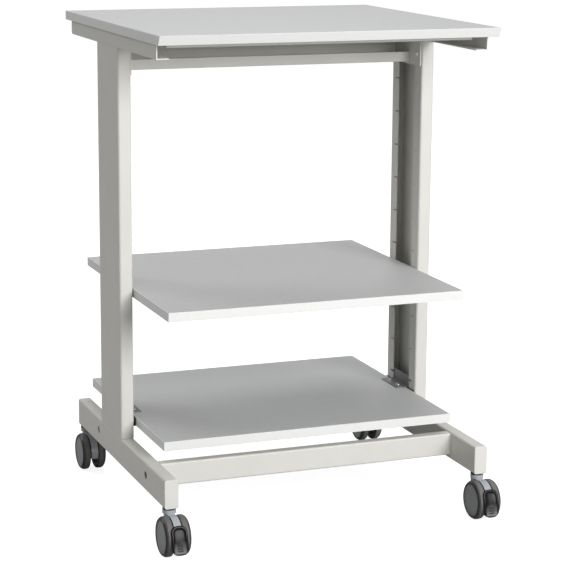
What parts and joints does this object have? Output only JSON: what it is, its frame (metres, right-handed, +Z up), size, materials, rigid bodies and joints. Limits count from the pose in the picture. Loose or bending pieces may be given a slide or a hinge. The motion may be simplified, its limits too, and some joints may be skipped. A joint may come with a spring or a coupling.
{
  "type": "mobile printer stand",
  "caption": "Office printer stand on castors: a tabletop over a cable tray, a slotted column at each side carrying two adjustable shelves, and a braked castor under each front foot.",
  "frame": {"origin": "on the floor, under the middle of the stand's outer box", "axes": "+X to the user's right, +Y to the back, +Z up"},
  "size_m": [0.6126, 0.6252, 0.856],
  "materials": {
    "laminate": "fine pearl texture, light grey",
    "edge_band": "satin light grey",
    "frame_paint": "fine-textured light grey powder coat",
    "zinc_steel": "zinc plated",
    "castor_housing": "silver-grey moulded",
    "wheel_disc": "mid grey moulded",
    "tyre": "dark grey soft tread",
    "pedal": "black moulded",
    "black_plastic": "black moulded"
  },
  "bodies": {
    "frame": {"cable_tray": "frame_paint", "cable_tray_end_plates": "frame_paint", "cable_tray_screws": "zinc_steel", "castor_stems": "zinc_steel", "column_base_plates": "frame_paint", "column_base_screws": "zinc_steel", "column_head_plates": "frame_paint", "column_head_screws": "zinc_steel", "crossbar_bolts": "zinc_steel", "crossbar_end_plates": "frame_paint", "foot_end_caps": "frame_paint", "foot_hole_plugs": "black_plastic", "front_stiffener": "frame_paint", "left_column": "frame_paint", "left_foot": "frame_paint", "left_top_rail": "frame_paint", "lower_crossbar": "frame_paint", "paper_shelf": "laminate", "paper_shelf_brackets": "frame_paint", "paper_shelf_edge_bands": "edge_band", "paper_shelf_screws": "zinc_steel", "paper_shelf_side_pads": "black_plastic", "right_column": "frame_paint", "right_foot": "frame_paint", "right_top_rail": "frame_paint", "tabletop": "laminate", "tabletop_edge_bands": "edge_band", "tabletop_screws": "zinc_steel"},
    "printer_shelf": {"printer_shelf": "laminate", "printer_shelf_edge_bands": "edge_band", "printer_shelf_brackets": "frame_paint", "printer_shelf_screws": "zinc_steel"},
    "front_left_castor": {"front_left_castor_housing": "castor_housing", "front_left_castor_axle": "zinc_steel"},
    "front_left_castor_left_wheel": {"front_left_castor_left_hub": "wheel_disc", "front_left_castor_left_tyre": "tyre"},
    "front_left_castor_right_wheel": {"front_left_castor_right_hub": "wheel_disc", "front_left_castor_right_tyre": "tyre"},
    "front_left_castor_brake_pedal": {"front_left_castor_brake_pedal": "pedal"},
    "front_right_castor": {"front_right_castor_housing": "castor_housing", "front_right_castor_axle": "zinc_steel"},
    "front_right_castor_left_wheel": {"front_right_castor_left_hub": "wheel_disc", "front_right_castor_left_tyre": "tyre"},
    "front_right_castor_right_wheel": {"front_right_castor_right_hub": "wheel_disc", "front_right_castor_right_tyre": "tyre"},
    "front_right_castor_brake_pedal": {"front_right_castor_brake_pedal": "pedal"},
    "rear_left_castor": {"rear_left_castor_housing": "castor_housing", "rear_left_castor_axle": "zinc_steel"},
    "rear_left_castor_left_wheel": {"rear_left_castor_left_hub": "wheel_disc", "rear_left_castor_left_tyre": "tyre"},
    "rear_left_castor_right_wheel": {"rear_left_castor_right_hub": "wheel_disc", "rear_left_castor_right_tyre": "tyre"},
    "rear_right_castor": {"rear_right_castor_housing": "castor_housing", "rear_right_castor_axle": "zinc_steel"},
    "rear_right_castor_left_wheel": {"rear_right_castor_left_hub": "wheel_disc", "rear_right_castor_left_tyre": "tyre"},
    "rear_right_castor_right_wheel": {"rear_right_castor_right_hub": "wheel_disc", "rear_right_castor_right_tyre": "tyre"}
  },
  "joints": [
    {"name": "printer_shelf_height", "type": "slide", "parent": "frame", "child": "printer_shelf", "axis": [0, 0, 1], "range_m": [-0.062, 0.31]},
    {"name": "front_left_castor_swivel", "type": "hinge", "parent": "frame", "child": "front_left_castor", "pos_m": [-0.284, -0.24945, 0.067], "axis": [0, 0, 1], "continuous": true},
    {"name": "front_left_castor_left_wheel_spin", "type": "hinge", "parent": "front_left_castor", "child": "front_left_castor_left_wheel", "pos_m": [-0.284, -0.27145, 0.034], "axis": [1, 0, 0], "continuous": true},
    {"name": "front_left_castor_right_wheel_spin", "type": "hinge", "parent": "front_left_castor", "child": "front_left_castor_right_wheel", "pos_m": [-0.284, -0.27145, 0.034], "axis": [1, 0, 0], "continuous": true},
    {"name": "front_left_castor_brake", "type": "hinge", "parent": "front_left_castor", "child": "front_left_castor_brake_pedal", "pos_m": [-0.284, -0.29545, 0.046], "axis": [1, 0, 0], "range_deg": [0, 5]},
    {"name": "front_right_castor_swivel", "type": "hinge", "parent": "frame", "child": "front_right_castor", "pos_m": [0.284, -0.24945, 0.067], "axis": [0, 0, 1], "continuous": true},
    {"name": "front_right_castor_left_wheel_spin", "type": "hinge", "parent": "front_right_castor", "child": "front_right_castor_left_wheel", "pos_m": [0.284, -0.27145, 0.034], "axis": [1, 0, 0], "continuous": true},
    {"name": "front_right_castor_right_wheel_spin", "type": "hinge", "parent": "front_right_castor", "child": "front_right_castor_right_wheel", "pos_m": [0.284, -0.27145, 0.034], "axis": [1, 0, 0], "continuous": true},
    {"name": "front_right_castor_brake", "type": "hinge", "parent": "front_right_castor", "child": "front_right_castor_brake_pedal", "pos_m": [0.284, -0.29545, 0.046], "axis": [1, 0, 0], "range_deg": [0, 5]},
    {"name": "rear_left_castor_swivel", "type": "hinge", "parent": "frame", "child": "rear_left_castor", "pos_m": [-0.284, 0.26255, 0.067], "axis": [0, 0, 1], "continuous": true},
    {"name": "rear_left_castor_left_wheel_spin", "type": "hinge", "parent": "rear_left_castor", "child": "rear_left_castor_left_wheel", "pos_m": [-0.284, 0.24055, 0.034], "axis": [1, 0, 0], "continuous": true},
    {"name": "rear_left_castor_right_wheel_spin", "type": "hinge", "parent": "rear_left_castor", "child": "rear_left_castor_right_wheel", "pos_m": [-0.284, 0.24055, 0.034], "axis": [1, 0, 0], "continuous": true},
    {"name": "rear_right_castor_swivel", "type": "hinge", "parent": "frame", "child": "rear_right_castor", "pos_m": [0.284, 0.26255, 0.067], "axis": [0, 0, 1], "continuous": true},
    {"name": "rear_right_castor_left_wheel_spin", "type": "hinge", "parent": "rear_right_castor", "child": "rear_right_castor_left_wheel", "pos_m": [0.284, 0.24055, 0.034], "axis": [1, 0, 0], "continuous": true},
    {"name": "rear_right_castor_right_wheel_spin", "type": "hinge", "parent": "rear_right_castor", "child": "rear_right_castor_right_wheel", "pos_m": [0.284, 0.24055, 0.034], "axis": [1, 0, 0], "continuous": true}
  ]
}
